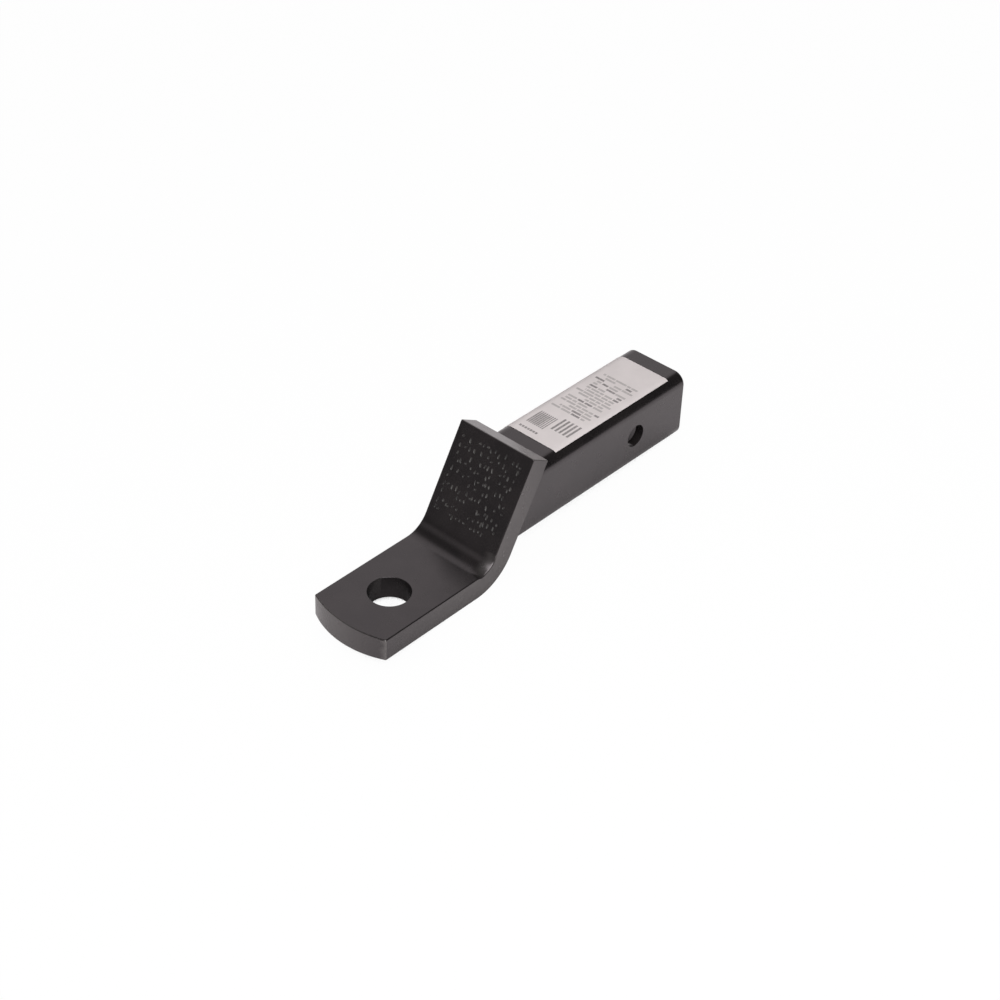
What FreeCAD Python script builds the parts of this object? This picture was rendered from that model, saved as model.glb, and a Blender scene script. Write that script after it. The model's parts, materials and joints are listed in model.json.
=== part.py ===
import FreeCAD, Part
import math
import os
from FreeCAD import Matrix, Vector

# Ball mount for a square receiver: a bent flat bar welded to a square tube shank.
# Origin: centre of the ball hole on the platform's top face.
# +X runs along the shank towards its open rear end, +Z is up, the XZ plane is the middle.
# Lengths are millimetres, angles are degrees.

# Square tube shank
shank_width = 50.8
shank_wall = 6.35
shank_corner_radius = 8.4
shank_inner_radius = 2.0
shank_end_rounding = 0.5
shank_rise = 1.0
pin_hole_diameter = 16.4
ball_to_pin = 210.3
pin_to_shank_end = 50.2

# Bent flat bar that carries the ball, wider than the shank by a ledge on each side
bar_ledge = 6.2
bar_thickness = 16.5
bar_edge_radius = 0.9
bend_angle = 61.0
bend_inside_radius = 19.7
ball_to_bend_corner = 59.5
upright_over_shank = 8.9
ball_hole_diameter = 28.5

# Sheared nose: a bowed end whose lower edge stands further out than its upper edge
nose_reach = 42.8
nose_bow = 7.9
nose_bow_top = 6.1

# Fillet weld all round the tube: its leg as a share of the ledge, its crown as a share of the leg
weld_ledge_fill = 0.75
weld_crown = 0.18

# Paper label over the shank's top, a little way onto its right shoulder and right over its left one
label_length = 116.0
label_end_gap = 12.7
label_right_turn = 27.0
label_side_drop = 2.0
label_thickness = 0.2

# Worked-out sizes
half_shank = shank_width / 2
half_bar = half_shank + bar_ledge
bar_width = 2 * half_bar
shank_mid_height = shank_rise + half_shank
shank_top = shank_rise + shank_width
shank_end = ball_to_pin + pin_to_shank_end
weld_leg = bar_ledge * weld_ledge_fill
bend_radians = math.radians(bend_angle)
up_bar = Vector(math.cos(bend_radians), 0, math.sin(bend_radians))
through_bar = Vector(math.sin(bend_radians), 0, -math.cos(bend_radians))
upright_height = shank_top + upright_over_shank - bar_thickness * through_bar.z
upright_length = upright_height / up_bar.z
bend_tangent = bend_inside_radius * math.tan(bend_radians / 2)

# Corner points of the bar's side view
bend_corner = Vector(ball_to_bend_corner, 0, 0)
bend_start = bend_corner - Vector(bend_tangent, 0, 0)
bend_end = bend_corner + up_bar * bend_tangent
bend_centre = bend_start + Vector(0, 0, bend_inside_radius)
upright_top = bend_corner + up_bar * upright_length
drop_through = Vector(0, 0, -bar_thickness)


def on_bend(radius):
    """Point half way round the bend at a radius from its centre."""
    half_turn = bend_radians / 2
    return bend_centre + Vector(radius * math.sin(half_turn), 0, -radius * math.cos(half_turn))


def line(start, end):
    return Part.LineSegment(start, end).toShape()


def arc(start, middle, end):
    return Part.Arc(start, middle, end).toShape()


def across(edges, width):
    """Solid with the given side view, centred on the middle plane."""
    face = Part.Face(Part.Wire(edges))
    face.translate(Vector(0, -width / 2, 0))
    return face.extrude(Vector(0, width, 0))


def back_edges(top_point, low_point):
    """Edges of the bar's back and underside, from the upright's top to the nose."""
    outer_end = bend_end + through_bar * bar_thickness
    outer_middle = on_bend(bend_inside_radius + bar_thickness)
    outer_start = bend_start + drop_through
    return [
        line(top_point, outer_end),
        arc(outer_end, outer_middle, outer_start),
        line(outer_start, low_point),
    ]


def nose_front(level, clear):
    """Outline in front of the bowed nose at one height, wider than the bar by a clear margin."""
    bow = nose_bow_top + (nose_bow - nose_bow_top) * (-level / bar_thickness)
    radius = (half_bar ** 2 + bow ** 2) / (2 * bow)
    centre_x = radius - bow - (nose_reach - nose_bow)
    half = half_bar + clear
    corner_x = centre_x - math.sqrt(radius ** 2 - half ** 2)
    far_x = -nose_reach - clear
    left = Vector(corner_x, half, level)
    right = Vector(corner_x, -half, level)
    far_left = Vector(far_x, half, level)
    far_right = Vector(far_x, -half, level)
    tip = Vector(centre_x - radius, 0, level)
    return Part.Wire([
        arc(left, tip, right),
        line(right, far_right),
        line(far_right, far_left),
        line(far_left, left),
    ])


def make_ball_platform():
    """Flat bar bent up at the rear, sheared to a bow at the nose, drilled for the ball's stem."""
    spare = bar_thickness / 2
    nose_top = Vector(-nose_reach - spare, 0, 0)
    nose_low = nose_top + drop_through
    upright_back = upright_top + through_bar * bar_thickness
    edges = [
        line(nose_top, bend_start),
        arc(bend_start, on_bend(bend_inside_radius), bend_end),
        line(bend_end, upright_top),
        line(upright_top, upright_back),
    ]
    edges += back_edges(upright_back, nose_low)
    edges.append(line(nose_low, nose_top))
    bar = across(edges, bar_width)
    above = nose_front(spare, bar_thickness)
    below = nose_front(-bar_thickness - spare, bar_thickness)
    bar = bar.cut(Part.makeLoft([above, below], True, True))
    bar = bar.makeFillet(bar_edge_radius, bar.Edges)
    drill_start = Vector(0, 0, -bar_thickness - spare)
    return bar.cut(Part.makeCylinder(ball_hole_diameter / 2, bar_thickness + 2 * spare, drill_start))


def rounded_square(width, radius):
    """Outline of the tube in a plane across the shank, at X = 0."""
    square = Part.makeBox(shank_wall, width, width, Vector(0, -width / 2, shank_mid_height - width / 2))
    long_edges = [edge for edge in square.Edges if abs(edge.tangentAt(edge.FirstParameter).x) > 0.5]
    rounded = square.makeFillet(radius, long_edges)
    face = min(rounded.Faces, key=lambda side: side.CenterOfMass.x)
    return face.OuterWire


def along_shank(wire, start, end):
    """Solid of an outline pulled along the shank from one X to another."""
    face = Part.Face(wire)
    face.translate(Vector(start, 0, 0))
    return face.extrude(Vector(end - start, 0, 0))


def space_before_back():
    """Everything in front of the bar's back face, to trim what is welded to it."""
    reach = shank_end
    high = upright_top + through_bar * bar_thickness + up_bar * reach
    low = Vector(-reach, 0, -bar_thickness)
    corner = Vector(low.x, 0, high.z)
    edges = back_edges(high, low)
    edges.append(line(low, corner))
    edges.append(line(corner, high))
    return across(edges, 2 * bar_width)


def make_shank_tube():
    """Open square tube, cut at its front to the slope of the upright and drilled for the hitch pin."""
    outside = along_shank(rounded_square(shank_width, shank_corner_radius), 0, shank_end)
    end_edges = [edge for edge in outside.Edges if edge.BoundBox.XMin > shank_end - shank_wall / 2]
    outside = outside.makeFillet(shank_end_rounding, end_edges)
    bore = rounded_square(shank_width - 2 * shank_wall, shank_inner_radius)
    tube = outside.cut(along_shank(bore, -shank_wall, shank_end + shank_wall))
    tube = tube.cut(space_before_back())
    pin_start = Vector(ball_to_pin, -shank_width, shank_mid_height)
    pin_hole = Part.makeCylinder(pin_hole_diameter / 2, 2 * shank_width, pin_start, Vector(0, 1, 0))
    return tube.cut(pin_hole)


def sloped_outline(grow, shift):
    """Tube outline grown outwards, leaned to the upright's back and shifted along the shank from it."""
    wire = rounded_square(shank_width + 2 * grow, shank_corner_radius + grow)
    back = bend_end + through_bar * bar_thickness
    lean = 1 / math.tan(bend_radians)
    slope = Matrix()
    slope.A13 = lean
    slope.A14 = back.x - back.z * lean + shift
    return wire.transformGeometry(slope)


def make_weld_bead():
    """Crowned fillet weld in the corner between the tube and the bar's back."""
    crown = weld_leg * (1 / 2 + weld_crown)
    outlines = [
        sloped_outline(weld_leg, -weld_leg),
        sloped_outline(weld_leg, 0),
        sloped_outline(crown, crown),
        sloped_outline(0, weld_leg),
    ]
    bead = Part.makeLoft(outlines, True, True)
    bead = bead.cut(along_shank(rounded_square(shank_width, shank_corner_radius), 0, shank_end))
    return bead.cut(space_before_back())


def on_shoulder(side, radius, turn):
    """Point on a top corner of the tube, turned down from the top by an angle towards one side."""
    centre = Vector(0, side * (half_shank - shank_corner_radius), shank_top - shank_corner_radius)
    lean = math.radians(turn)
    return centre + Vector(0, side * radius * math.sin(lean), radius * math.cos(lean))


def shoulder_arc(side, radius, start_turn, end_turn):
    turns = (start_turn, (start_turn + end_turn) / 2, end_turn)
    return arc(*[on_shoulder(side, radius, turn) for turn in turns])


def make_label():
    """Thin sheet that lies on the tube's top and turns down over both of its shoulders."""
    left, right = 1, -1
    inner = shank_corner_radius
    outer = shank_corner_radius + label_thickness
    inner_low = on_shoulder(left, inner, 90) - Vector(0, 0, label_side_drop)
    outer_low = on_shoulder(left, outer, 90) - Vector(0, 0, label_side_drop)
    outline = Part.Wire([
        shoulder_arc(right, inner, label_right_turn, 0),
        line(on_shoulder(right, inner, 0), on_shoulder(left, inner, 0)),
        shoulder_arc(left, inner, 0, 90),
        line(on_shoulder(left, inner, 90), inner_low),
        line(inner_low, outer_low),
        line(outer_low, on_shoulder(left, outer, 90)),
        shoulder_arc(left, outer, 90, 0),
        line(on_shoulder(left, outer, 0), on_shoulder(right, outer, 0)),
        shoulder_arc(right, outer, 0, label_right_turn),
        line(on_shoulder(right, outer, label_right_turn), on_shoulder(right, inner, label_right_turn)),
    ])
    label_end = shank_end - label_end_gap
    return along_shank(outline, label_end - label_length, label_end)


def main():
    os.makedirs("parts", exist_ok=True)
    pieces = {
        "shank_tube": make_shank_tube(),
        "ball_platform": make_ball_platform(),
        "weld_bead": make_weld_bead(),
        "label": make_label(),
    }
    for name, shape in pieces.items():
        shape.exportStep("parts/" + name + ".step")
        box = shape.BoundBox
        print(name, "solids", len(shape.Solids), "valid", shape.isValid(), "volume %.0f" % shape.Volume,
              "x %.1f to %.1f, z %.1f to %.1f" % (box.XMin, box.XMax, box.ZMin, box.ZMax))


main()
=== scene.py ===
import json
import math
import random

import bmesh
import bpy
from bpy.props import FloatProperty, FloatVectorProperty, IntProperty, PointerProperty
from bpy.types import NodeSocket, Operator, Panel, PropertyGroup
from mathutils import Matrix, Vector, noise

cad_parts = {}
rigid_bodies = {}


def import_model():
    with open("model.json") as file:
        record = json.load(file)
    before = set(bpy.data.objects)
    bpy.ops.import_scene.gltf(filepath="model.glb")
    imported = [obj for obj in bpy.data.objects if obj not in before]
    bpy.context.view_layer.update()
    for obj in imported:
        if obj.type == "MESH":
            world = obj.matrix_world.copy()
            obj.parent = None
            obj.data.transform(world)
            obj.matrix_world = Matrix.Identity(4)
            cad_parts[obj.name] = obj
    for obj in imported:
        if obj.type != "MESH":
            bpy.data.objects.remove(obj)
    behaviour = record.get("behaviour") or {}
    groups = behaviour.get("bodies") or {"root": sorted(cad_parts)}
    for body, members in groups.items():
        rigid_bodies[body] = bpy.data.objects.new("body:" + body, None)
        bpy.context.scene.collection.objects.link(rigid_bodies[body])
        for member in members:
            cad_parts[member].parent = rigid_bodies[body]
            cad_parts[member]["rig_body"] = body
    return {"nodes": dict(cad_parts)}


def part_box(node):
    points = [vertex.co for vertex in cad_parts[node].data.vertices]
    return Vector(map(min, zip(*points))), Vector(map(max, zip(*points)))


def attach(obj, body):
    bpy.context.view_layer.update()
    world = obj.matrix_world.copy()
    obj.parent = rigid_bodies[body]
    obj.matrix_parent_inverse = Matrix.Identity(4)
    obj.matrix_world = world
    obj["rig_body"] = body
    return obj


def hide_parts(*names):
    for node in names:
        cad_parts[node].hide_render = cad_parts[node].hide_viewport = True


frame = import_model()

bl_info = {
    "name": "Ball Mount",
    "version": (1, 0, 0),
    "blender": (4, 5, 0),
    "location": "View3D > Sidebar > Ball Mount",
    "description": "Paint, stamped strokes, rippled weld, paper label and studio of a drop ball mount",
    "category": "Object",
}

# What a new file holds besides the frame is cleared, so that the first box is the steel's own
NEW_FILE_TYPES = {"MESH", "LIGHT", "CAMERA"}
for leftover in list(bpy.data.objects):
    if leftover.type in NEW_FILE_TYPES and "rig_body" not in leftover:
        bpy.data.objects.remove(leftover)
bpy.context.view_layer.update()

MM = 0.001
shank_low, shank_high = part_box("shank_tube")
bar_low, bar_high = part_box("ball_platform")
label_low, label_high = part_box("label")
weld_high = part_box("weld_bead")[1]

# Sizes of the steel that the frame's boxes don't give
BEND_ANGLE = math.radians(61.0)
BEND_CORNER_X = 59.5 * MM
BEND_INSIDE_RADIUS = 19.7 * MM
BALL_HOLE_RADIUS = 14.25 * MM
SHANK_CORNER_RADIUS = 8.4 * MM

# Worked-out sizes and directions
BAR_WIDTH = bar_high.y - bar_low.y
BAR_THICKNESS = -bar_low.z
HALF_SHANK = (shank_high.y - shank_low.y) / 2
WELD_LEG = weld_high.y - shank_high.y
BEND_TANGENT = BEND_INSIDE_RADIUS * math.tan(BEND_ANGLE / 2)
BEND_CORNER = Vector((BEND_CORNER_X, 0.0, 0.0))
BEND_AXIS = Vector((BEND_CORNER_X - BEND_TANGENT, 0.0, BEND_INSIDE_RADIUS))
UP_BAR = Vector((math.cos(BEND_ANGLE), 0.0, math.sin(BEND_ANGLE)))
OUT_OF_BAR = Vector((-math.sin(BEND_ANGLE), 0.0, math.cos(BEND_ANGLE)))


# Settings

class PaintSettings(PropertyGroup):
    colour: FloatVectorProperty(
        name="Paint", description="Colour of the black paint", subtype="COLOR", size=3, min=0.0, max=1.0,
        default=(0.0080, 0.0070, 0.0072))
    faded: FloatVectorProperty(
        name="Faded Paint", description="Colour of its paler drifts", subtype="COLOR", size=3,
        min=0.0, max=1.0, default=(0.0130, 0.0112, 0.0112))
    # Painted sheen: paler colour laid on the bar's nose, sides, upright's end and bend edge, and the painted
    # glints of the stamped strokes
    sheen_colour: FloatVectorProperty(
        name="Rubbed Paint", description="Colour of edges and strokes that the paint is thin on",
        subtype="COLOR", size=3, min=0.0, max=1.0, default=(0.078, 0.073, 0.070))
    specular: FloatProperty(
        name="Specular Level", description="Strength of the paint's reflections", subtype="FACTOR",
        min=0.0, max=1.0, default=0.76)
    specular_tint: FloatVectorProperty(
        name="Specular Tint", description="Colour of the paint's reflections", subtype="COLOR", size=3,
        min=0.0, max=1.0, default=(1.0, 0.92, 0.95))
    gloss_roughness: FloatProperty(
        name="Smooth Roughness", description="Roughness where the paint flowed out", subtype="FACTOR",
        min=0.0, max=1.0, default=0.245)
    dull_roughness: FloatProperty(
        name="Dull Roughness", description="Roughness where the paint went on dry", subtype="FACTOR",
        min=0.0, max=1.0, default=0.275)
    peel_size: FloatProperty(
        name="Orange Peel", description="Width of one dimple of the sprayed paint", unit="LENGTH",
        min=0.0002, max=0.01, default=1.1 * MM)
    peel_depth: FloatProperty(
        name="Peel Depth", description="Depth of the dimples", unit="LENGTH",
        min=0.0, max=0.001, default=0.008 * MM)


class StampSettings(PropertyGroup):
    rows: IntProperty(
        name="Rows", description="Rows of stamped strokes on the upright", min=1, max=14, default=10)
    row_pitch: FloatProperty(
        name="Row Pitch", description="Distance from one row to the next", unit="LENGTH",
        min=0.003, max=0.02, default=5.7 * MM)
    first_row: FloatProperty(
        name="First Row", description="Distance of the lowest row above the bend's corner", unit="LENGTH",
        min=0.0, max=0.1, default=18.5 * MM)
    stroke_pitch: FloatProperty(
        name="Stroke Pitch", description="Distance between places in a row", unit="LENGTH",
        min=0.001, max=0.02, default=3.1 * MM)
    stroke_height: FloatProperty(
        name="Stroke Height", description="Height of an upright stroke", unit="LENGTH",
        min=0.001, max=0.01, default=4.2 * MM)
    stroke_width: FloatProperty(
        name="Stroke Width", description="Width of a stroke at the face", unit="LENGTH",
        min=0.0002, max=0.004, default=1.7 * MM)
    stroke_depth: FloatProperty(
        name="Stroke Depth", description="Depth of a stroke in the steel", unit="LENGTH",
        min=0.0001, max=0.002, default=0.45 * MM)


class BendSettings(PropertyGroup):
    rim_rounding: FloatProperty(
        name="Hole Rim", description="Rounding of the ball hole's upper rim", unit="LENGTH",
        min=0.0001, max=0.003, default=0.35 * MM)
    edge_band: FloatProperty(
        name="Bend Edge Band", description="Width of the band that turns down beside the bend",
        unit="LENGTH", min=0.001, max=0.02, default=10.5 * MM)
    edge_drop: FloatProperty(
        name="Bend Edge Drop", description="How far that band turns down at the edge", unit="LENGTH",
        min=0.0, max=0.005, default=1.85 * MM)


class WeldSettings(PropertyGroup):
    ripple_pitch: FloatProperty(
        name="Ripple Pitch", description="Distance between ripples of the bead", unit="LENGTH",
        min=0.0005, max=0.01, default=1.9 * MM)
    ripple_height: FloatProperty(
        name="Ripple Height", description="Height of a ripple", unit="LENGTH",
        min=0.0, max=0.001, default=0.16 * MM)
    crown: FloatProperty(
        name="Crown", description="Swell of the bead as a share of its leg", subtype="FACTOR",
        min=0.0, max=0.4, default=0.17)


class LabelSettings(PropertyGroup):
    paper: FloatVectorProperty(
        name="Paper", description="Colour of the label", subtype="COLOR", size=3, min=0.0, max=1.0,
        default=(0.685, 0.635, 0.63))
    ink: FloatVectorProperty(
        name="Ink", description="Colour of the dark print", subtype="COLOR", size=3, min=0.0, max=1.0,
        default=(0.20, 0.185, 0.185))
    tint: FloatVectorProperty(
        name="Tint", description="Colour of the pale print", subtype="COLOR", size=3, min=0.0, max=1.0,
        default=(0.43, 0.40, 0.395))
    ink_height: FloatProperty(
        name="Ink Height", description="Thickness of the printed film", unit="LENGTH",
        min=0.000005, max=0.0002, default=0.03 * MM)


class StageSettings(PropertyGroup):
    floor: FloatVectorProperty(
        name="Floor", description="Colour of the floor", subtype="COLOR", size=3, min=0.0, max=1.0,
        default=(0.92, 0.92, 0.92))
    azimuth: FloatProperty(
        name="Azimuth", description="Turn of the camera from straight before the nose", subtype="ANGLE",
        default=math.radians(41.05))
    elevation: FloatProperty(
        name="Elevation", description="Height of the camera above the platform's plane", subtype="ANGLE",
        default=math.radians(37.63))
    roll: FloatProperty(
        name="Roll", description="Lean of the camera, because the part rests on its shank's rear edge",
        subtype="ANGLE", default=math.radians(2.29))
    distance: FloatProperty(
        name="Distance", description="Distance of the camera from its aim", unit="LENGTH",
        default=1400.2 * MM)
    lens: FloatProperty(
        name="Lens", description="Focal length in millimetres on a 36 mm sensor", default=76.93)
    aim: FloatVectorProperty(
        name="Aim", description="Point that the camera looks at", subtype="TRANSLATION", unit="LENGTH",
        size=3, default=(102.67 * MM, 0.0, 16.74 * MM))
    key_power: FloatProperty(
        name="Key Power", description="Power of the soft light over the camera", unit="POWER", default=22.3)
    key_size: FloatProperty(
        name="Key Size", description="Width of the soft light", unit="LENGTH", default=1.1)
    room: FloatProperty(
        name="Room", description="Brightness of the unlit studio", default=0.05)
    backdrop: FloatProperty(
        name="Backdrop", description="Brightness of the lit backdrop", default=0.85)
    side_wall: FloatProperty(
        name="Side Wall", description="Brightness high on the studio's left", default=0.5)
    far_wall: FloatProperty(
        name="Far Wall", description="Brightness low before the part, on its left", default=0.17)
    sheet: FloatProperty(
        name="Sheet", description="How far the white sheet on the floor reaches to the right",
        unit="LENGTH", default=0.3)
    tint: FloatVectorProperty(
        name="Tint", description="Colour of the studio's light", subtype="COLOR", size=3,
        min=0.0, max=1.0, default=(1.0, 0.955, 0.965))


class BallMountSettings(PropertyGroup):
    paint: PointerProperty(type=PaintSettings)
    stamp: PointerProperty(type=StampSettings)
    bend: PointerProperty(type=BendSettings)
    weld: PointerProperty(type=WeldSettings)
    label: PointerProperty(type=LabelSettings)
    stage: PointerProperty(type=StageSettings)


# Nodes that the finishes and the stage share

def set_input(tree, socket, value):
    """Give a socket a value, or the output of another node."""
    if isinstance(value, NodeSocket):
        tree.links.new(value, socket)
    else:
        socket.default_value = value


def object_place(tree):
    return tree.nodes.new("ShaderNodeTexCoord").outputs["Object"]


def add_noise(tree, place, size, detail):
    """Noise whose blotches are about one size across, in metres."""
    texture = tree.nodes.new("ShaderNodeTexNoise")
    texture.inputs["Scale"].default_value = 1.0 / size
    texture.inputs["Detail"].default_value = detail
    tree.links.new(place, texture.inputs["Vector"])
    return texture.outputs["Fac"]


def add_range(tree, value, span, to, way="SMOOTHSTEP"):
    """Value that goes from one end of a range to the other while the given one crosses a span."""
    ranged = tree.nodes.new("ShaderNodeMapRange")
    ranged.interpolation_type = way
    ranged.inputs["From Min"].default_value, ranged.inputs["From Max"].default_value = span
    ranged.inputs["To Min"].default_value, ranged.inputs["To Max"].default_value = to
    tree.links.new(value, ranged.inputs["Value"])
    return ranged.outputs["Result"]


def add_math(tree, operation, *values):
    """Sum or product of numbers and other nodes' outputs, or the largest of them."""
    node = tree.nodes.new("ShaderNodeMath")
    node.operation = operation
    for socket, value in zip(node.inputs, values):
        set_input(tree, socket, value)
    return node.outputs[0]


def add_mix(tree, share, first, second):
    """Colour between two others, each three numbers or a node's output, by a share from a node."""
    mix = tree.nodes.new("ShaderNodeMix")
    mix.data_type = "RGBA"
    for name, colour in (("A", first), ("B", second)):
        set_input(tree, mix.inputs[name], colour if isinstance(colour, NodeSocket) else (*colour, 1.0))
    tree.links.new(share, mix.inputs["Factor"])
    return mix.outputs["Result"]


def add_shader_mix(tree, share, first, second):
    """Finish between those of two shaders, by a share from another node."""
    mix = tree.nodes.new("ShaderNodeMixShader")
    tree.links.new(share, mix.inputs["Fac"])
    tree.links.new(first, mix.inputs[1])
    tree.links.new(second, mix.inputs[2])
    return mix.outputs[0]


def add_bump(tree, height, depth, shader):
    bump = tree.nodes.new("ShaderNodeBump")
    bump.inputs["Strength"].default_value = 1.0
    bump.inputs["Distance"].default_value = depth
    tree.links.new(height, bump.inputs["Height"])
    tree.links.new(bump.outputs["Normal"], shader.inputs["Normal"])


# Finishes

# Name of the share of painted sheen on the bar, where paler paint stands in for light on its faces and edges
PAINTED_SHEEN_ATTRIBUTE = "painted_sheen"


def new_material(name):
    """New material, its node tree and its shader."""
    material = bpy.data.materials.new(name)
    material.use_nodes = True
    return material, material.node_tree, material.node_tree.nodes["Principled BSDF"]


def find_or_make(name, make, *settings):
    """Material that an earlier piece has made, or else a new one."""
    return bpy.data.materials.get(name) or make(*settings)


def black_paint(settings):
    """Satin black paint with orange peel, pale drifts, drier patches and painted sheen where the bar is
    marked.
    """
    material, tree, shader = new_material("black_paint_satin")
    shader.inputs["Specular IOR Level"].default_value = settings.specular
    shader.inputs["Specular Tint"].default_value = (*settings.specular_tint, 1.0)
    place = object_place(tree)
    drifts = add_noise(tree, place, size=22.0 * MM, detail=4.0)
    share = add_range(tree, drifts, span=(0.38, 0.68), to=(0.0, 1.0))
    colour = add_mix(tree, share, settings.colour, settings.faded)
    # Painted sheen: the bar's marked places turn towards the paler colour
    painted_sheen = tree.nodes.new("ShaderNodeAttribute")
    painted_sheen.attribute_name = PAINTED_SHEEN_ATTRIBUTE
    with_painted_sheen = add_mix(tree, painted_sheen.outputs["Fac"], colour, settings.sheen_colour)
    tree.links.new(with_painted_sheen, shader.inputs["Base Color"])
    patches = add_noise(tree, place, size=7.0 * MM, detail=3.0)
    ends = (settings.gloss_roughness, settings.dull_roughness)
    tree.links.new(add_range(tree, patches, span=(0.35, 0.7), to=ends), shader.inputs["Roughness"])
    peel = add_noise(tree, place, size=settings.peel_size, detail=1.0)
    add_bump(tree, peel, settings.peel_depth, shader)
    return material


def stroke_glint_paint(settings):
    """Paler paint in the stamped strokes, a painted glint that varies from one stroke to the next."""
    material, tree, shader = new_material("black_paint_stroke_glint")
    shader.inputs["Roughness"].default_value = 0.38
    place = object_place(tree)
    strokes = add_noise(tree, place, size=4.5 * MM, detail=1.0)
    share = add_range(tree, strokes, span=(0.32, 0.68), to=(0.04, 0.66))
    tree.links.new(add_mix(tree, share, settings.faded, settings.sheen_colour), shader.inputs["Base Color"])
    grain = add_noise(tree, place, size=0.5 * MM, detail=2.0)
    add_bump(tree, grain, 0.03 * MM, shader)
    return material


def printed_paper(settings):
    """Label paper with faint fibres and a slightly uneven tone."""
    material, tree, shader = new_material("label_paper_matte")
    shader.inputs["Specular IOR Level"].default_value = 0.3
    place = object_place(tree)
    cloud = add_noise(tree, place, size=14.0 * MM, detail=3.0)
    share = add_range(tree, cloud, span=(0.35, 0.7), to=(0.0, 1.0))
    paler = [min(1.0, part * 1.06) for part in settings.paper]
    tree.links.new(add_mix(tree, share, settings.paper, paler), shader.inputs["Base Color"])
    fibres = add_noise(tree, place, size=0.35 * MM, detail=2.0)
    tree.links.new(add_range(tree, fibres, span=(0.3, 0.7), to=(0.5, 0.66)), shader.inputs["Roughness"])
    add_bump(tree, fibres, 0.01 * MM, shader)
    return material


def printing_ink(name, colour, paper):
    """Thin ink that lets some of the paper through where it is weak."""
    material, tree, shader = new_material(name)
    shader.inputs["Specular IOR Level"].default_value = 0.3
    grain = add_noise(tree, object_place(tree), size=0.9 * MM, detail=3.0)
    share = add_range(tree, grain, span=(0.35, 0.75), to=(0.0, 0.45))
    tree.links.new(add_mix(tree, share, colour, paper), shader.inputs["Base Color"])
    tree.links.new(add_range(tree, grain, span=(0.3, 0.7), to=(0.42, 0.6)), shader.inputs["Roughness"])
    return material


# Shared steps

SMOOTH_ANGLE = math.radians(32.0)
SAME_PLACE = 0.001 * MM


def merged_copy(node):
    """Mesh of a CAD node's own triangles, joined at their shared corners."""
    mesh = bmesh.new()
    mesh.from_mesh(frame["nodes"][node].data)
    bmesh.ops.remove_doubles(mesh, verts=mesh.verts, dist=SAME_PLACE)
    return mesh


def smooth_faces(data):
    data.polygons.foreach_set("use_smooth", [True] * len(data.polygons))
    data.set_sharp_from_angle(angle=SMOOTH_ANGLE)


def add_piece(name, mesh, materials):
    """Object of a finished mesh, smooth but for its sharp edges, that goes with the steel."""
    data = bpy.data.meshes.new(name)
    mesh.to_mesh(data)
    mesh.free()
    piece = bpy.data.objects.new(name, data)
    bpy.context.scene.collection.objects.link(piece)
    for material in materials:
        data.materials.append(material)
    smooth_faces(data)
    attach(piece, "root")
    return piece


def paint_node(node, material):
    """A CAD node keeps its shape and takes a finish."""
    slots = frame["nodes"][node].data.materials
    slots.clear()
    slots.append(material)


def set_material(verts, index):
    """Give the faces round some vertices one of their piece's materials."""
    for face in {face for vert in verts for face in vert.link_faces}:
        face.material_index = index


def smooth_step(share):
    share = max(0.0, min(1.0, share))
    return share * share * (3.0 - 2.0 * share)


# Shank

class BALLMOUNT_OT_shank(Operator):
    """Paint the square tube shank"""
    bl_idname = "ball_mount.shank"
    bl_label = "Shank Tube"

    def execute(self, context):
        settings = context.scene.ball_mount
        paint_node("shank_tube", find_or_make("black_paint_satin", black_paint, settings.paint))
        return {"FINISHED"}


# Platform: rim of the ball hole, in radians and metres

FLAT_ANGLE = 0.002
RIM_ANGLE = 1.0
RIM_SLACK = 0.05 * MM
TOP_SLACK = 0.01 * MM


def round_hole_rim(mesh, settings):
    """Round the upper rim of the ball hole."""
    inner = [edge for edge in mesh.edges if len(edge.link_faces) == 2]
    flat = [edge for edge in inner if edge.calc_face_angle() < FLAT_ANGLE]
    bmesh.ops.dissolve_limit(
        mesh, angle_limit=FLAT_ANGLE, use_dissolve_boundaries=False, verts=[], edges=flat, delimit=set())
    rim = []
    for edge in mesh.edges:
        near_hole = all(vert.co.xy.length < BALL_HOLE_RADIUS + RIM_SLACK for vert in edge.verts)
        on_top = all(abs(vert.co.z) < TOP_SLACK for vert in edge.verts)
        if near_hole and on_top and edge.calc_face_angle() > RIM_ANGLE:
            rim.append(edge)
    if not rim:
        raise RuntimeError("the ball hole has no rim to round")
    bmesh.ops.bevel(
        mesh, geom=rim, offset=settings.rim_rounding, offset_type="OFFSET", affect="EDGES", segments=4,
        profile=0.5, material=-1, clamp_overlap=True)


# Platform: edge that turns down at the bend's right end

EDGE_CUTS = 8
CUT_SLACK = 0.0005 * MM
BEND_REACH = BEND_INSIDE_RADIUS + 1.0 * MM
RUN_OUT = 0.22


def round_bend(place):
    """Share of the bend's turn at a place, and the arm from the bend's axis to it."""
    arm = (place - BEND_AXIS) * Vector((1.0, 0.0, 1.0))
    return math.atan2(arm.x, -arm.z) / BEND_ANGLE, arm


def inside_bend(place):
    """Whether a place is on the inner surface of the bend."""
    turn, arm = round_bend(place)
    return 0.0 < turn < 1.0 and arm.length < BEND_REACH


def edge_share(place, band):
    """Share of the way out over a band along the bar's right edge, one at the edge."""
    return max(0.0, 1.0 - (place.y - bar_low.y) / band)


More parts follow.
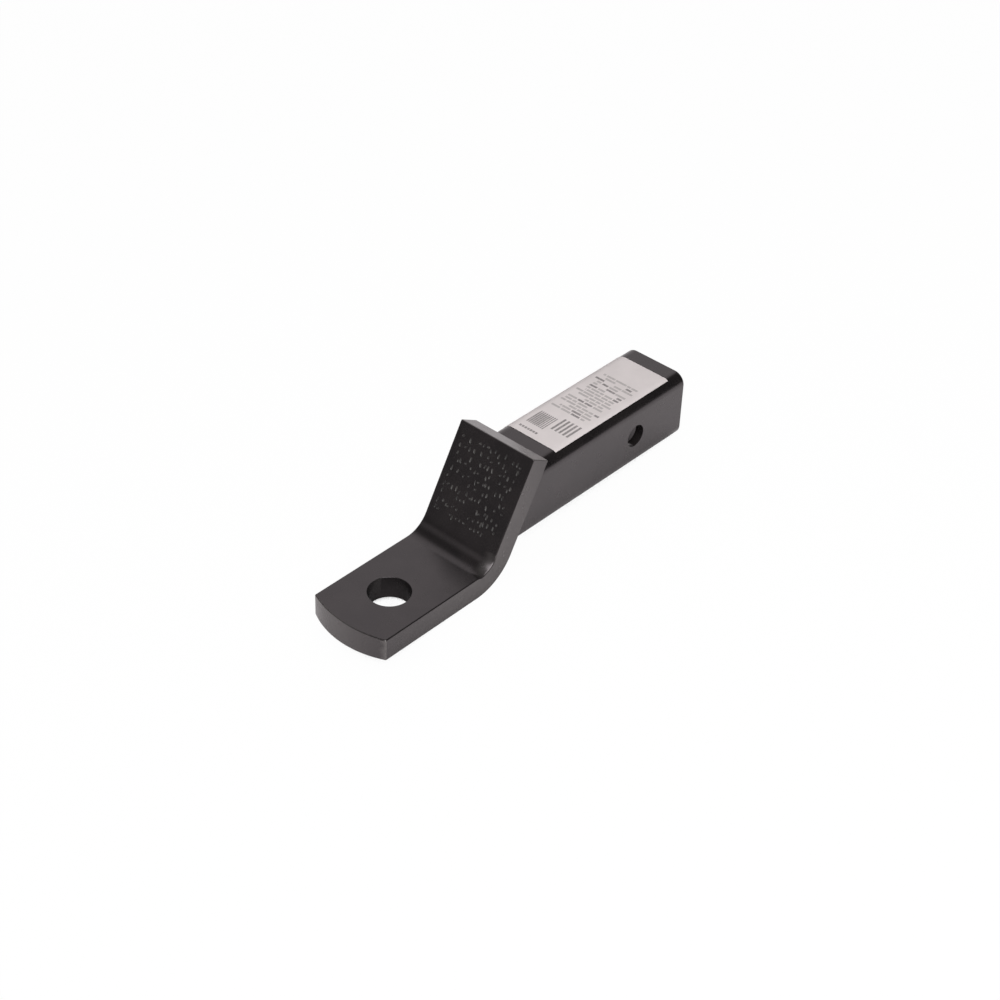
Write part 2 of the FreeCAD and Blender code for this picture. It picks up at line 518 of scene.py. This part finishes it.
def turn_down_bend_edge(mesh, settings):
    """Turn the bar's right edge down along the inside of the bend, least at the bend's ends."""
    for step in range(1, EDGE_CUTS + 1):
        cut = bar_low.y + settings.edge_band * step / EDGE_CUTS
        faces = [face for face in mesh.faces if inside_bend(face.calc_center_median())]
        edges = dict.fromkeys(edge for face in faces for edge in face.edges)
        verts = dict.fromkeys(vert for face in faces for vert in face.verts)
        bmesh.ops.bisect_plane(
            mesh, geom=[*faces, *edges, *verts], dist=CUT_SLACK, plane_co=(0.0, cut, 0.0),
            plane_no=(0.0, 1.0, 0.0))
    for vert in mesh.verts:
        share = edge_share(vert.co, settings.edge_band)
        if share > 0.0 and inside_bend(vert.co):
            turn, arm = round_bend(vert.co)
            middle = smooth_step(min(turn, 1.0 - turn) / RUN_OUT)
            vert.co += arm.normalized() * (settings.edge_drop * share ** 2 * middle)


# Platform: shares of painted sheen, and the lengths that they hold for

NOSE_DEPTH = 13.0 * MM
NOSE_RIM = 0.04 * MM
NOSE_SHEEN_RIGHT = 0.12
NOSE_SHEEN_LEFT = 0.60
NOSE_SHEEN_SPREAD = BAR_WIDTH / 1.6
CORNER_BAND = 0.7 * MM
CORNER_PALEST = 1.0
END_SHEEN = 0.50
SIDE_SHEEN = 0.70
SIDE_SHEEN_LOSS = 0.007 / MM
LOSS_BEHIND_BEND = 2.0
BEND_EDGE_SHEEN = 0.34
EDGE_SHEEN_RISE = 1.4
TURN_SHEEN_RISE = 2.5


def painted_sheen_share(place, normal, band):
    """Share of paler paint on the bar: painted sheen on the nose, upright's end, sides and bend's right
    edge, palest on the nose's right corner.
    """
    faces_front = normal.x < -0.15
    faces_right = normal.y < -0.2
    # Nose: painted sheen growing towards the left, and the palest paint on its right corner
    if place.x < bar_low.x + NOSE_DEPTH and place.z < -NOSE_RIM and faces_front:
        inset = place.y - bar_low.y
        if inset < CORNER_BAND and faces_right:
            return CORNER_PALEST
        return NOSE_SHEEN_RIGHT + (NOSE_SHEEN_LEFT - NOSE_SHEEN_RIGHT) * smooth_step(inset / NOSE_SHEEN_SPREAD)
    # Painted sheen on the upright's end, which faces the light
    if normal.dot(UP_BAR) > 0.5 and place.z > shank_high.z:
        return END_SHEEN
    # Painted sheen on the sides, lightest by the bend
    if abs(normal.y) > 0.9:
        behind_bend = place.x - BEND_CORNER_X - BAR_THICKNESS
        return SIDE_SHEEN - SIDE_SHEEN_LOSS * max(BEND_CORNER_X - place.x, LOSS_BEHIND_BEND * behind_bend)
    # Painted highlight along the bend's right edge
    turn, arm = round_bend(place)
    if 0.0 < turn < 1.0 and arm.dot(normal) < 0.0:
        near_edge = smooth_step(EDGE_SHEEN_RISE * edge_share(place, band))
        return BEND_EDGE_SHEEN * near_edge * smooth_step(TURN_SHEEN_RISE * turn)
    return 0.0


def mark_painted_sheen(data, settings):
    """Mark on the bar where paler paint stands in for sheen."""
    marks = [painted_sheen_share(vert.co, vert.normal, settings.edge_band) for vert in data.vertices]
    data.attributes.new(PAINTED_SHEEN_ATTRIBUTE, "FLOAT", "POINT").data.foreach_set("value", marks)


# Platform: stamped strokes, their chances, spreads and shares

STAMP_SEED = 7
STAMP_MARGIN = 4.5 * MM
EMPTY_CHANCE = 0.24
UPRIGHT_CHANCE = 0.76
PLACE_SPREAD = (0.2, 0.8)
ROW_SPREAD = (-0.22, 0.22)
DEPTH_SPREAD = (0.5, 1.0)
HEIGHT_SPREAD = (0.45, 1.0)
LEAN_SPREAD = (-12.0, 28.0)
LYING_LENGTH = 0.75
TOOL_PROUD = 0.3
STROKE_PAINT = 1


def stroke_cutter(tool, along, up, lean, width, height, depth):
    """Rounded tool for one stroke at a place on the upright's front face, leaning in that face."""
    middle = BEND_CORNER + UP_BAR * up + Vector((0.0, along, 0.0))
    made = bmesh.ops.create_icosphere(tool, subdivisions=2, radius=1.0)["verts"]
    set_material(made, STROKE_PAINT)
    bmesh.ops.scale(tool, verts=made, vec=(width / 2, height / 2, depth * (1.0 + TOOL_PROUD)))
    bmesh.ops.translate(tool, verts=made, vec=(0.0, 0.0, depth * TOOL_PROUD))
    bmesh.ops.rotate(tool, verts=made, cent=(0.0, 0.0, 0.0), matrix=Matrix.Rotation(lean, 3, "Z"))
    turn = Matrix((Vector((0.0, -1.0, 0.0)), UP_BAR, OUT_OF_BAR)).transposed().to_4x4()
    bmesh.ops.transform(tool, matrix=Matrix.Translation(middle) @ turn, verts=made)


class BALLMOUNT_OT_platform(Operator):
    """Make the bent bar with rows of stamped strokes in its upright"""
    bl_idname = "ball_mount.platform"
    bl_label = "Ball Platform"

    def execute(self, context):
        settings = context.scene.ball_mount
        paint = find_or_make("black_paint_satin", black_paint, settings.paint)
        # Paler paint in the strokes, a painted glint
        with_painted_sheen = find_or_make("black_paint_stroke_glint", stroke_glint_paint, settings.paint)
        bar = merged_copy("ball_platform")
        round_hole_rim(bar, settings.bend)
        turn_down_bend_edge(bar, settings.bend)
        piece = add_piece("stamped_platform", bar, [paint, with_painted_sheen])
        self.cut(context, piece, self.stamp_tool(settings.stamp))
        mark_painted_sheen(piece.data, settings.bend)
        normals = piece.modifiers.new("even_shading", "WEIGHTED_NORMAL")
        normals.keep_sharp = True
        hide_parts("ball_platform")
        return {"FINISHED"}

    def stamp_tool(self, stamp):
        """Tool with rows of short strokes, one or none at a place, in no lettering."""
        tool = bmesh.new()
        chance = random.Random(STAMP_SEED)
        half = bar_high.y - STAMP_MARGIN
        places = int(2 * half / stamp.stroke_pitch)
        for row in range(stamp.rows):
            for place in range(places):
                if chance.random() < EMPTY_CHANCE:
                    continue
                along = half - (place + chance.uniform(*PLACE_SPREAD)) * stamp.stroke_pitch
                up = stamp.first_row + (row + chance.uniform(*ROW_SPREAD)) * stamp.row_pitch
                depth = stamp.stroke_depth * chance.uniform(*DEPTH_SPREAD)
                width = stamp.stroke_width
                height = stamp.stroke_height * chance.uniform(*HEIGHT_SPREAD)
                lean = math.radians(chance.uniform(*LEAN_SPREAD))
                if chance.random() >= UPRIGHT_CHANCE:
                    width, height = stamp.stroke_pitch * LYING_LENGTH, stamp.stroke_width
                stroke_cutter(tool, along, up, lean, width, height, depth)
        return tool

    def cut(self, context, piece, tool):
        """Cut the tool's strokes out of the piece."""
        data = bpy.data.meshes.new("strokes")
        tool.to_mesh(data)
        tool.free()
        for material in piece.data.materials:
            data.materials.append(material)
        cutter = bpy.data.objects.new("strokes", data)
        context.scene.collection.objects.link(cutter)
        cutting = piece.modifiers.new("strokes", "BOOLEAN")
        cutting.operation = "DIFFERENCE"
        cutting.solver = "EXACT"
        cutting.use_self = True
        cutting.object = cutter
        shape = piece.evaluated_get(context.evaluated_depsgraph_get())
        result = bpy.data.meshes.new_from_object(shape)
        if len(result.polygons) <= len(piece.data.polygons):
            raise RuntimeError("the strokes cut nothing out of the upright")
        piece.modifiers.clear()
        piece.data = result
        smooth_faces(result)
        self.crisp_rims(result)
        bpy.data.objects.remove(cutter)
        bpy.data.meshes.remove(data)

    def crisp_rims(self, data):
        """Keep the upright's face flat right up to the strokes."""
        mesh = bmesh.new()
        mesh.from_mesh(data)
        for edge in mesh.edges:
            if len({face.material_index for face in edge.link_faces}) > 1:
                edge.smooth = False
        mesh.to_mesh(data)
        mesh.free()


# Weld: points of its cross-section as shares of its leg, out from the tube and back from the bar

BEAD_ROOT = (-0.12, -0.12)
BEAD_ON_BAR = (1.0, -0.2)
BEAD_ON_TUBE = (-0.2, 1.0)
BEAD_FILL = 0.985
BEAD_WANDER = 0.07
WANDER_LENGTH = 9.0 * MM
RIPPLE_LAG = 0.315
FACE_STEPS = 6
STATIONS_PER_RIPPLE = 6


def back_of_bar(height):
    """X of the bar's back surface at a height: its flat upright, or the outside of the bend below that."""
    outer = BEND_INSIDE_RADIUS + BAR_THICKNESS
    end_height = BEND_INSIDE_RADIUS - outer * math.cos(BEND_ANGLE)
    if height < end_height:
        return BEND_AXIS.x + math.sqrt(outer ** 2 - (height - BEND_INSIDE_RADIUS) ** 2)
    return BEND_AXIS.x + outer * math.sin(BEND_ANGLE) + (height - end_height) / math.tan(BEND_ANGLE)


def round_shank(distance):
    """Point on the tube's outline and its outward direction, at a distance along the outline."""
    flat = 2 * (HALF_SHANK - SHANK_CORNER_RADIUS)
    corner = SHANK_CORNER_RADIUS * math.pi / 2
    side, rest = divmod(distance, flat + corner)
    turn = Matrix.Rotation(side * math.pi / 2, 4, "X")
    if rest < flat:
        point = Vector((0.0, HALF_SHANK, rest - flat / 2))
        out = Vector((0.0, 1.0, 0.0))
    else:
        lean = (rest - flat) / SHANK_CORNER_RADIUS
        out = Vector((0.0, math.cos(lean), math.sin(lean)))
        point = Vector((0.0, flat / 2, flat / 2)) + out * SHANK_CORNER_RADIUS
    return turn @ point + Vector((0.0, 0.0, (shank_low.z + shank_high.z) / 2)), turn @ out


class BALLMOUNT_OT_weld(Operator):
    """Lay the rippled fillet weld round the tube"""
    bl_idname = "ball_mount.weld"
    bl_label = "Weld Bead"

    def execute(self, context):
        settings = context.scene.ball_mount
        paint = find_or_make("black_paint_satin", black_paint, settings.paint)
        length = 8 * (HALF_SHANK - SHANK_CORNER_RADIUS) + 2 * math.pi * SHANK_CORNER_RADIUS
        ripples = round(length / settings.weld.ripple_pitch)
        stations = ripples * STATIONS_PER_RIPPLE
        mesh = bmesh.new()
        verts = [mesh.verts.new((0.0, 0.0, 0.0)) for _ in self.profile(0.0, 0.0, settings.weld)]
        first = [mesh.edges.new((verts[i - 1], verts[i])) for i in range(len(verts))]
        self.shape(verts, 0.0, 0.0, settings.weld)
        ring = first
        for station in range(1, stations):
            ring, verts = self.next_ring(mesh, ring, verts)
            share = station / stations
            self.shape(verts, share * length, share * ripples, settings.weld)
        bmesh.ops.bridge_loops(mesh, edges=ring + first)
        bmesh.ops.recalc_face_normals(mesh, faces=mesh.faces)
        piece = add_piece("rippled_weld", mesh, [paint])
        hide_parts("weld_bead")
        return {"FINISHED"}

    def next_ring(self, mesh, ring, verts):
        """Edges of a ring extruded from the last one, and its vertices in the last one's order."""
        made = bmesh.ops.extrude_edge_only(mesh, edges=ring)["geom"]
        new_verts = [part for part in made if isinstance(part, bmesh.types.BMVert)]
        new_edges = [part for part in made if isinstance(part, bmesh.types.BMEdge)]
        follow = {edge.other_vert(vert): vert for vert in new_verts for edge in vert.link_edges}
        verts = [follow[vert] for vert in verts]
        return [edge for edge in new_edges if all(vert in verts for vert in edge.verts)], verts

    def profile(self, distance, ripple, settings):
        """Bead's cross-section at a distance round the tube, from its root over its face."""
        wander = 1.0 + BEAD_WANDER * noise.noise(Vector((distance / WANDER_LENGTH, 0.0, 0.0)))
        points = [BEAD_ROOT, BEAD_ON_BAR]
        for step in range(FACE_STEPS + 1):
            lean = step / FACE_STEPS
            bulge = math.sin(math.pi * lean)
            wave = math.cos(2 * math.pi * (ripple - RIPPLE_LAG * bulge))
            swell = settings.crown * bulge + settings.ripple_height / WELD_LEG * wave * bulge ** 0.5
            out = (1.0 - lean) * BEAD_FILL * wander + swell
            back = lean * BEAD_FILL * wander + swell
            points.append((min(out, 1.0), back))
        points.append(BEAD_ON_TUBE)
        return points

    def shape(self, verts, distance, ripple, settings):
        """Set one ring of the bead in the corner between tube and bar."""
        point, out = round_shank(distance)
        for vert, (grow, shift) in zip(verts, self.profile(distance, ripple, settings)):
            place = point + out * (grow * WELD_LEG)
            place.x = back_of_bar(place.z) + shift * WELD_LEG
            vert.co = place


# Label: its print in millimetres, along it from its rear end and across it from its right edge

DARK_INK, PALE_INK = 0, 1
MARKS = 7
FIRST_MARK = 21.5
MARK_PITCH = 2.3
MARK_WIDTH = 1.7
WORD_SEED = 3
WORD_ROWS = 17
FIRST_WORD_ROW = 25.0
WORD_ROW_PITCH = 3.2
WORD_HEIGHT = 1.9
WORD_LENGTH = (3.0, 9.0)
WORD_GAP = (0.6, 1.4)
WORD_OVERRUN = 0.5
ROW_START = 4.5
ROW_STOP = 38.0
RAGGED_START = 5.0
RAGGED_STOP = 6.0
WORD_CHANCE = 0.86
PALE_CHANCE = 0.85
STRIPE_SHARE = 0.5


class BALLMOUNT_OT_label(Operator):
    """Give the label its paper and its plain grey print"""
    bl_idname = "ball_mount.label"
    bl_label = "Paper Label"

    def execute(self, context):
        settings = context.scene.ball_mount.label
        paint_node("label", find_or_make("label_paper_matte", printed_paper, settings))
        inks = [
            printing_ink("label_ink_dark", settings.ink, settings.paper),
            printing_ink("label_ink_pale", settings.tint, settings.paper),
        ]
        mesh = bmesh.new()
        self.mesh, self.height = mesh, settings.ink_height
        self.stripes(start=84.5, end=99.5, near=4.5, far=21.0, count=5)
        self.stripes(start=88.0, end=104.0, near=22.5, far=37.5, count=9)
        self.bar(start=90.0, end=103.0, near=27.0, far=37.0, ink=PALE_INK, film=0.5)
        for mark in range(MARKS):
            near = FIRST_MARK + mark * MARK_PITCH
            self.bar(start=109.0, end=111.0, near=near, far=near + MARK_WIDTH, ink=DARK_INK)
        chance = random.Random(WORD_SEED)
        for row in range(WORD_ROWS):
            self.words(FIRST_WORD_ROW + row * WORD_ROW_PITCH, chance)
        add_piece("label_print", mesh, inks)
        return {"FINISHED"}

    def words(self, start, chance):
        """Row of short bars across the label, as long as words."""
        place = ROW_START + chance.uniform(0.0, RAGGED_START)
        stop = ROW_STOP - chance.uniform(0.0, RAGGED_STOP)
        while place < stop:
            length = chance.uniform(*WORD_LENGTH)
            if chance.random() < WORD_CHANCE:
                ink = PALE_INK if chance.random() < PALE_CHANCE else DARK_INK
                end = min(place + length, stop + WORD_OVERRUN)
                self.bar(start, start + WORD_HEIGHT, place, end, ink)
            place += length + chance.uniform(*WORD_GAP)

    def stripes(self, start, end, near, far, count):
        """Block of even dark stripes along the shank."""
        pitch = (far - near) / count
        for stripe in range(count):
            edge = near + stripe * pitch
            self.bar(start, end, edge, edge + pitch * STRIPE_SHARE, DARK_INK)

    def bar(self, start, end, near, far, ink, film=1.0):
        """Printed bar, its film whole or thinner."""
        low = Vector((label_high.x - end * MM, label_low.y + near * MM, label_high.z - self.height))
        high = Vector((label_high.x - start * MM, label_low.y + far * MM, label_high.z + self.height * film))
        place = Matrix.Translation((low + high) / 2) @ Matrix.Diagonal((*(high - low), 1.0))
        set_material(bmesh.ops.create_cube(self.mesh, size=1.0, matrix=place)["verts"], ink)


# Stage

WHITE = (1.0, 1.0, 1.0)
FLOOR_REACH = 8.0
FLOOR_GAP = 0.4 * MM
SHADED_FLOOR = (0.08, 0.08, 0.08)
SHADE_REACH = 60.0 * MM
CONTACT_REACH = 25.0 * MM
SHEET_SOFTNESS = 0.06
BEYOND_SHEET = 0.04
KEY_DIRECTION = Vector((-0.46, -0.475, 0.75)).normalized()
KEY_DISTANCE = 1.35
SENSOR_WIDTH = 36.0


def aim_from(azimuth, elevation):
    """Direction from the part towards a place round it, by its turn from +X and its height."""
    flat = math.cos(elevation)
    return Vector((flat * math.cos(azimuth), flat * math.sin(azimuth), math.sin(elevation)))


class BALLMOUNT_OT_stage(Operator):
    """Set the floor, the studio, the soft light and the camera"""
    bl_idname = "ball_mount.stage"
    bl_label = "Stage"

    def execute(self, context):
        settings = context.scene.ball_mount.stage
        self.lay_floor(context, settings)
        self.light_world(context, settings)
        self.hang_key(context, settings)
        self.place_camera(context, settings)
        context.scene.view_settings.view_transform = "Standard"
        return {"FINISHED"}

    def lay_floor(self, context, settings):
        """Floor that the bend's underside and the shank's rear edge both rest on."""
        heel = Vector((BEND_AXIS.x, 0.0, bar_low.z))
        rear = Vector((shank_high.x, 0.0, shank_low.z))
        slope = math.atan2(rear.z - heel.z, rear.x - heel.x)
        mesh = bmesh.new()
        bmesh.ops.create_grid(mesh, x_segments=2, y_segments=2, size=FLOOR_REACH)
        bmesh.ops.rotate(mesh, verts=mesh.verts, cent=(0, 0, 0), matrix=Matrix.Rotation(-slope, 3, "Y"))
        bmesh.ops.translate(mesh, verts=mesh.verts, vec=heel - Vector((0.0, 0.0, FLOOR_GAP)))
        data = bpy.data.meshes.new("floor")
        mesh.to_mesh(data)
        mesh.free()
        floor = bpy.data.objects.new("floor", data)
        context.scene.collection.objects.link(floor)
        data.materials.append(self.floor_finish(settings))

    def floor_finish(self, settings):
        """White floor that still takes the part's shadow, deepest close under the steel, with painted shadow
        in its colour and in the white it shows in reflections.
        """
        material, tree, shader = new_material("floor_white")
        tree.nodes.remove(shader)
        rays = tree.nodes.new("ShaderNodeLightPath").outputs
        wide = self.open_share(tree, SHADE_REACH, samples=5)
        shade = add_range(tree, wide, span=(0.20, 0.85), to=(0.0, 1.0), way="LINEAR")
        paint = tree.nodes.new("ShaderNodeBsdfDiffuse")
        # Painted shade: the floor's colour darkens where much stands over it
        tree.links.new(add_mix(tree, shade, SHADED_FLOOR, settings.floor), paint.inputs["Color"])
        # Painted shadow in reflections: the white that the steel mirrors dims by the same shade
        bright = add_math(tree, "MULTIPLY", shade, self.sheet_share(tree, settings))
        mirrored = add_math(tree, "MAXIMUM", rays["Is Glossy Ray"], rays["Is Transmission Ray"])
        in_steel = self.white_layer(tree, mirrored, settings.tint, bright, paint.outputs[0])
        near = self.open_share(tree, CONTACT_REACH, samples=7)
        clear = add_range(tree, near, span=(0.02, 0.12), to=(0.0, 0.98))
        seen = add_math(tree, "MULTIPLY", rays["Is Camera Ray"], clear)
        finish = self.white_layer(tree, seen, WHITE, 1.0, in_steel)
        tree.links.new(finish, tree.nodes["Material Output"].inputs["Surface"])
        return material

    def open_share(self, tree, reach, samples):
        """Share of the sky that the floor sees past what stands within reach."""
        occlusion = tree.nodes.new("ShaderNodeAmbientOcclusion")
        occlusion.samples = samples
        occlusion.inputs["Distance"].default_value = reach
        return occlusion.outputs["AO"]

    def sheet_share(self, tree, settings):
        """Brightness of the floor's white sheet, which ends softly on the right."""
        place = tree.nodes.new("ShaderNodeSeparateXYZ")
        tree.links.new(object_place(tree), place.inputs[0])
        span = (-settings.sheet - SHEET_SOFTNESS, -settings.sheet + SHEET_SOFTNESS)
        return add_range(tree, place.outputs["Y"], span=span, to=(BEYOND_SHEET, 1.0))

    def white_layer(self, tree, share, colour, strength, under):
        """White laid over a finish by a share from a node, its strength a number or a node's output."""
        white = tree.nodes.new("ShaderNodeEmission")
        white.inputs["Color"].default_value = (*colour, 1.0)
        set_input(tree, white.inputs["Strength"], strength)
        return add_shader_mix(tree, share, under, white.outputs[0])

    def light_world(self, context, settings):
        """Dim studio with a lit backdrop behind the part, white where the camera sees it."""
        world = bpy.data.worlds.new("studio")
        world.use_nodes = True
        context.scene.world = world
        tree = world.node_tree
        way = tree.nodes.new("ShaderNodeTexCoord").outputs["Generated"]
        # Each zone's turn from +X, height, inner and outer edge, in degrees, and its brightness
        zones = (
            (50.0, 28.0, 28.0, 37.0, settings.backdrop),
            (134.0, 44.0, 2.0, 13.0, settings.side_wall),
            (148.0, 10.0, 10.0, 24.0, settings.far_wall),
        )
        total = settings.room
        for turn, height, inner, outer, brightness in zones:
            towards = aim_from(math.radians(turn), math.radians(height))
            share = self.zone_share(tree, way, towards, inner, outer)
            total = add_math(tree, "MULTIPLY_ADD", share, brightness - settings.room, total)
        studio = tree.nodes["Background"]
        studio.inputs["Color"].default_value = (*settings.tint, 1.0)
        tree.links.new(total, studio.inputs["Strength"])
        white = tree.nodes.new("ShaderNodeBackground")
        white.inputs["Color"].default_value = (*WHITE, 1.0)
        seen = tree.nodes.new("ShaderNodeLightPath").outputs["Is Camera Ray"]
        both = add_shader_mix(tree, seen, studio.outputs[0], white.outputs[0])
        tree.links.new(both, tree.nodes["World Output"].inputs["Surface"])

    def zone_share(self, tree, way, towards, inner, outer):
        """Share of a round zone of the studio: one inside, none outside, soft between, in degrees."""
        facing = tree.nodes.new("ShaderNodeVectorMath")
        facing.operation = "DOT_PRODUCT"
        facing.inputs[1].default_value = towards
        tree.links.new(way, facing.inputs[0])
        span = (math.cos(math.radians(outer)), math.cos(math.radians(inner)))
        return add_range(tree, facing.outputs["Value"], span=span, to=(0.0, 1.0))

    def hang_key(self, context, settings):
        """Large soft light above the camera, a little to its right."""
        light = bpy.data.lights.new("key_light", "AREA")
        light.size = settings.key_size
        light.energy = settings.key_power
        lamp = bpy.data.objects.new("key_light", light)
        lamp.location = Vector(settings.aim) + KEY_DIRECTION * KEY_DISTANCE
        lamp.rotation_euler = KEY_DIRECTION.to_track_quat("Z", "Y").to_euler()
        lamp.visible_camera = False
        context.scene.collection.objects.link(lamp)

    def place_camera(self, context, settings):
        """Camera at the photograph's place."""
        back = aim_from(settings.azimuth + math.pi, settings.elevation)
        right = Vector((0.0, 0.0, 1.0)).cross(back).normalized()
        up = back.cross(right)
        turn = Matrix((right, up, back)).transposed() @ Matrix.Rotation(settings.roll, 3, "Z")
        place = Vector(settings.aim) + back * settings.distance
        data = bpy.data.cameras.new("camera")
        data.sensor_width = SENSOR_WIDTH
        data.lens = settings.lens
        camera = bpy.data.objects.new("camera", data)
        camera.matrix_world = Matrix.Translation(place) @ turn.to_4x4()
        context.scene.collection.objects.link(camera)
        context.scene.camera = camera


# Panel and registration

PIECES = (
    BALLMOUNT_OT_shank,
    BALLMOUNT_OT_platform,
    BALLMOUNT_OT_weld,
    BALLMOUNT_OT_label,
    BALLMOUNT_OT_stage,
)


class VIEW3D_PT_ball_mount(Panel):
    """Sizes, colours and pieces of the ball mount"""
    bl_idname = "VIEW3D_PT_ball_mount"
    bl_label = "Ball Mount"
    bl_space_type = "VIEW_3D"
    bl_region_type = "UI"
    bl_category = "Ball Mount"

    def draw(self, context):
        settings = context.scene.ball_mount
        groups = (
            settings.paint, settings.stamp, settings.bend, settings.weld, settings.label, settings.stage)
        for group in groups:
            box = self.layout.box()
            for key in group.bl_rna.properties.keys():
                if key not in {"rna_type", "name"}:
                    box.prop(group, key)
        for piece in PIECES:
            self.layout.operator(piece.bl_idname)


CLASSES = (
    PaintSettings,
    StampSettings,
    BendSettings,
    WeldSettings,
    LabelSettings,
    StageSettings,
    BallMountSettings,
    *PIECES,
    VIEW3D_PT_ball_mount,
)


def register():
    for cls in CLASSES:
        bpy.utils.register_class(cls)
    bpy.types.Scene.ball_mount = PointerProperty(type=BallMountSettings)


def unregister():
    del bpy.types.Scene.ball_mount
    for cls in reversed(CLASSES):
        bpy.utils.unregister_class(cls)


def main():
    register()
    bpy.ops.ball_mount.shank()
    bpy.ops.ball_mount.platform()
    bpy.ops.ball_mount.weld()
    bpy.ops.ball_mount.label()
    bpy.ops.ball_mount.stage()


if __name__ == "__main__":
    main()
